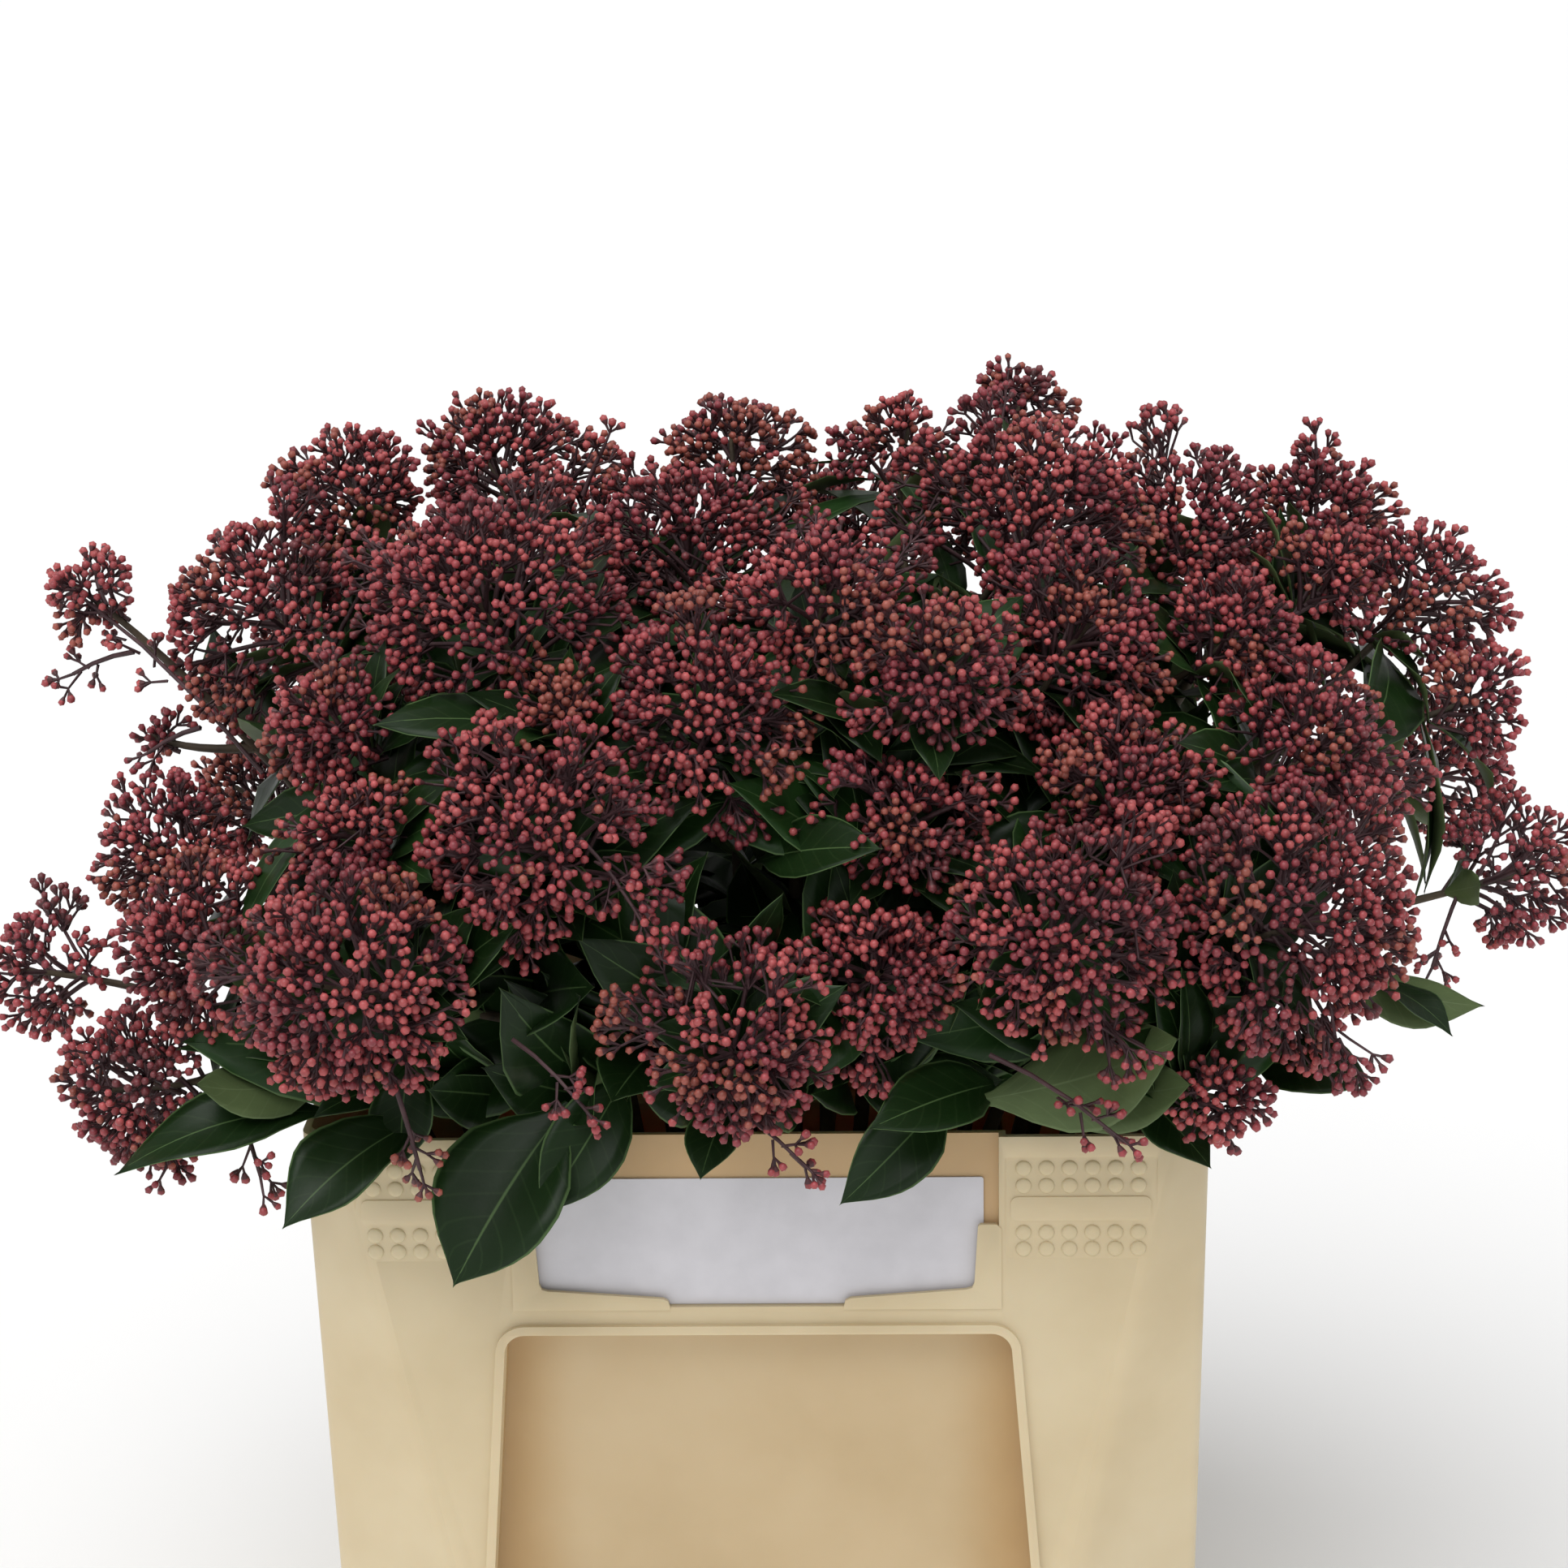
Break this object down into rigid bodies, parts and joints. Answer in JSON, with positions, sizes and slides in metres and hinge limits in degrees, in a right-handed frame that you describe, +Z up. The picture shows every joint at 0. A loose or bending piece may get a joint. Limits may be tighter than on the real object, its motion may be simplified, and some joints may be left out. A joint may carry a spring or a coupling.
{
  "type": "cut skimmia stems in a flower container",
  "caption": "A full bunch of cut skimmia in red bud with dark glossy leaves, standing in a cream plastic flower container with a blank card.",
  "frame": {"origin": "middle of the container's flat underside, on the floor it stands on", "axes": "+Z up through the mouth; -Y towards the front, where the card is; +X along the container's length, to the right as seen from the front"},
  "size_m": [0.725, 0.5164, 0.6483],
  "materials": {
    "container": "satin",
    "card": "satin",
    "stem": "matte",
    "bud_and_leaf": "matte"
  },
  "bodies": {
    "root": {"container": "container", "card": "card", "stem_front_left": "stem", "stem_front_left_upper": "stem", "stem_front_middle": "stem", "stem_front_right": "stem", "stem_front_right_outer": "stem", "stem_left_low": "stem", "stem_left_shoulder": "stem", "stem_left_hollow": "stem", "stem_right_low": "stem", "stem_left_middle": "stem", "stem_centre": "stem", "stem_centre_low": "stem", "stem_centre_right": "stem", "stem_right_middle": "stem", "stem_upper_left_outer": "stem", "stem_upper_left": "stem", "stem_top_middle": "stem", "stem_top_right": "stem", "stem_upper_right": "stem", "stem_upper_right_outer": "stem", "stem_right_shoulder": "stem", "stem_far_left_spray": "stem", "stem_rear_left": "stem", "stem_rear_left_low": "stem", "stem_rear_middle": "stem", "stem_rear_middle_low": "stem", "stem_rear_right": "stem", "stem_rear_right_low": "stem", "stem_rear_right_outer": "stem", "head_front_left": "bud_and_leaf", "head_front_left_upper": "bud_and_leaf", "head_front_middle": "bud_and_leaf", "head_front_right": "bud_and_leaf", "head_front_right_outer": "bud_and_leaf", "head_left_low": "bud_and_leaf", "head_left_shoulder": "bud_and_leaf", "head_left_hollow": "bud_and_leaf", "head_right_low": "bud_and_leaf", "head_left_middle": "bud_and_leaf", "head_centre": "bud_and_leaf", "head_centre_low": "bud_and_leaf", "head_centre_right": "bud_and_leaf", "head_right_middle": "bud_and_leaf", "head_upper_left_outer": "bud_and_leaf", "head_upper_left": "bud_and_leaf", "head_top_middle": "bud_and_leaf", "head_top_right": "bud_and_leaf", "head_upper_right": "bud_and_leaf", "head_upper_right_outer": "bud_and_leaf", "head_right_shoulder": "bud_and_leaf", "head_far_left_spray": "bud_and_leaf", "head_rear_left": "bud_and_leaf", "head_rear_left_low": "bud_and_leaf", "head_rear_middle": "bud_and_leaf", "head_rear_middle_low": "bud_and_leaf", "head_rear_right": "bud_and_leaf", "head_rear_right_low": "bud_and_leaf", "head_rear_right_outer": "bud_and_leaf"}
  },
  "joints": []
}
